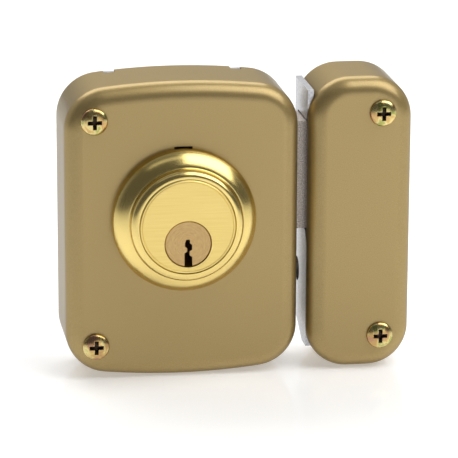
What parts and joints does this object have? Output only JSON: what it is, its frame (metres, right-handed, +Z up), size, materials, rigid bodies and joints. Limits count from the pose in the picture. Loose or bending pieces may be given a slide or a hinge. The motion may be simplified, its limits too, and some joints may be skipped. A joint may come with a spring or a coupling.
{
  "type": "rim night latch",
  "caption": "Surface-mounted rim latch with a keyed inside cylinder in a brass ring, and its matching box keep.",
  "frame": {"origin": "centre of the outer cylinder's bore in the back plate, on the door face and on the key plug's axis", "axes": "+X towards the keep, +Y into the door along the plug axis, +Z up"},
  "size_m": [0.1006, 0.0348, 0.087],
  "materials": {
    "satin_gold_paint": "satin metallic",
    "polished_brass": "polished",
    "brushed_brass": "brushed",
    "plug_brass": "fine turned",
    "yellow_zinc": "yellow passivated",
    "bright_zinc": "bright zinc plated",
    "sintered_steel": "as sintered",
    "turned_steel": "turned",
    "spring_steel": "drawn wire",
    "bearing_brass": "turned"
  },
  "bodies": {
    "case": {"case_cover": "satin_gold_paint", "back_plate": "turned_steel", "spacer_posts": "turned_steel", "cover_screws": "yellow_zinc", "escutcheon_ring": "polished_brass", "cylinder_body": "brushed_brass", "driver_pins": "bearing_brass", "pin_springs": "spring_steel", "chamber_strip": "brushed_brass", "cylinder_retainer": "turned_steel", "hub_bush": "bearing_brass", "hub_bridge": "bright_zinc", "bridge_posts": "turned_steel", "bridge_screws": "yellow_zinc", "bolt_guide": "bright_zinc", "guide_rivets": "turned_steel", "guide_studs": "turned_steel", "stud_clips": "spring_steel", "bolt_spring": "spring_steel", "spring_rod": "turned_steel", "spring_bracket": "bright_zinc"},
    "latch": {"latch_bolt": "sintered_steel", "bolt_carriage": "bright_zinc", "bolt_rivets": "turned_steel"},
    "hub": {"tail_hub": "sintered_steel", "hub_circlip": "spring_steel"},
    "plug": {"cylinder_plug": "plug_brass", "key_pins": "bearing_brass", "plug_circlip": "spring_steel", "plug_tail": "bright_zinc", "tail_pin": "turned_steel"},
    "keep": {"keep_cover": "satin_gold_paint", "keep_plate": "bright_zinc", "keep_posts": "turned_steel", "keep_screws": "yellow_zinc"}
  },
  "joints": [
    {"name": "bolt_slide", "type": "slide", "parent": "case", "child": "latch", "axis": [1, 0, 0], "range_m": [-0.015, 0], "stiffness_N_per_m": 250, "springref_m": 0.02, "deforming": ["bolt_spring"]},
    {"name": "hub_turn", "type": "hinge", "parent": "case", "child": "hub", "pos_m": [0, 0, 0], "axis": [0, 1, 0], "range_deg": [-107.44, 0]},
    {"name": "plug_turn", "type": "hinge", "parent": "case", "child": "plug", "pos_m": [0, 0, 0], "axis": [0, 1, 0], "range_deg": [-107.44, 0]},
    {"name": "keep_pull", "type": "slide", "parent": "case", "child": "keep", "axis": [1, 0, 0], "range_m": [0, 0.03]}
  ],
  "couplings": [
    {"joint": "hub_turn", "follows": "bolt_slide", "rad_per_m": 125},
    {"joint": "plug_turn", "follows": "bolt_slide", "rad_per_m": 125}
  ]
}
